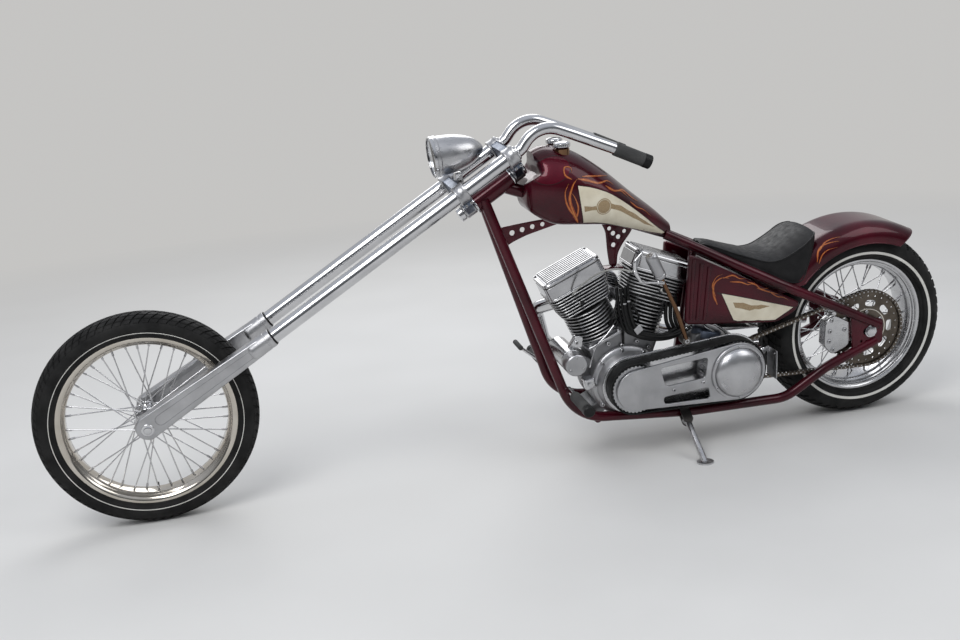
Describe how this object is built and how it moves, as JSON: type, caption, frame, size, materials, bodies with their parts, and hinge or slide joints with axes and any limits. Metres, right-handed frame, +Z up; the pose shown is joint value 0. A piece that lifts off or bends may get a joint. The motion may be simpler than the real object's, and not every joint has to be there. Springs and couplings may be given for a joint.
{
  "type": "chopper motorcycle",
  "caption": "Long-forked chopper motorcycle with a rigid frame, an open V-twin engine, a wide belt primary drive and wire wheels, leaning on its side stand.",
  "frame": {"origin": "on the floor under the centre of the whole machine's bounding box, with the machine leaning left on its side stand", "axes": "+X to the rear wheel, +Y to the rider's right, +Z up"},
  "size_m": [3.154, 0.6618, 1.1838],
  "materials": {
    "maroon_paint": "gloss candy maroon",
    "polished_alloy": "polished",
    "fin_alloy": "machined fins",
    "chrome": "mirror",
    "leather": "stitched",
    "black_rubber": "matt",
    "grip_rubber": "ribbed",
    "dark_steel": "oiled",
    "lens": "clear",
    "tyre": "treaded"
  },
  "bodies": {
    "frame": {"head_tube": "maroon_paint", "backbone": "maroon_paint", "downtube_left": "maroon_paint", "downtube_right": "maroon_paint", "lower_rail_left": "maroon_paint", "lower_rail_right": "maroon_paint", "upper_rail_left": "maroon_paint", "upper_rail_right": "maroon_paint", "seat_post": "maroon_paint", "axle_plates": "maroon_paint", "tank_brackets": "maroon_paint", "fuel_tank": "maroon_paint", "filler_caps": "chrome", "seat": "leather", "rear_fender": "maroon_paint", "oil_tank": "maroon_paint", "crankcase": "polished_alloy", "front_cylinder": "fin_alloy", "rear_cylinder": "fin_alloy", "rocker_boxes": "chrome", "cam_cover": "polished_alloy", "generator": "chrome", "air_cleaner": "chrome", "exhaust_pipes": "chrome", "primary_backing": "polished_alloy", "primary_belt": "black_rubber", "primary_pulleys": "polished_alloy", "primary_outer_plate": "polished_alloy", "clutch_dome": "polished_alloy", "transmission": "polished_alloy", "drive_chain": "dark_steel", "clutch_cable": "black_rubber", "oil_hoses": "black_rubber", "shift_lever": "chrome", "foot_controls_left": "black_rubber", "foot_controls_right": "black_rubber", "brake_caliper": "polished_alloy", "rear_axle": "chrome", "plate_holder": "dark_steel", "stand_bracket": "maroon_paint"},
    "fork": {"steering_stem": "chrome", "triple_clamps": "polished_alloy", "fork_tubes": "chrome", "handlebars": "chrome", "grips": "grip_rubber", "fork_legs": "polished_alloy", "headlight_shell": "chrome", "headlight_lens": "lens", "front_axle": "chrome"},
    "front_wheel": {"front_tyre": "tyre", "front_rim": "polished_alloy", "front_spokes": "chrome", "front_hub": "chrome"},
    "rear_wheel": {"rear_tyre": "tyre", "rear_rim": "polished_alloy", "rear_spokes": "chrome", "rear_hub": "chrome", "rear_sprocket": "dark_steel"},
    "side_stand": {"side_stand": "chrome"}
  },
  "joints": [
    {"name": "steering", "type": "hinge", "parent": "frame", "child": "fork", "pos_m": [-0.0588, -0.05851, 0.9472], "axis": [0.8563, -0.045, 0.5146], "range_deg": [-28, 28]},
    {"name": "front_wheel_spin", "type": "hinge", "parent": "fork", "child": "front_wheel", "pos_m": [-1.227, -0.00625, 0.34989], "axis": [0, 0.9962, 0.0872], "continuous": true},
    {"name": "rear_wheel_spin", "type": "hinge", "parent": "frame", "child": "rear_wheel", "pos_m": [1.241, -0.00509, 0.33664], "axis": [0, 0.9962, 0.0872], "continuous": true},
    {"name": "stand_fold", "type": "hinge", "parent": "frame", "child": "side_stand", "pos_m": [0.543, -0.15129, 0.10301], "axis": [0, 0.562, -0.8271], "range_deg": [0, 85]}
  ]
}
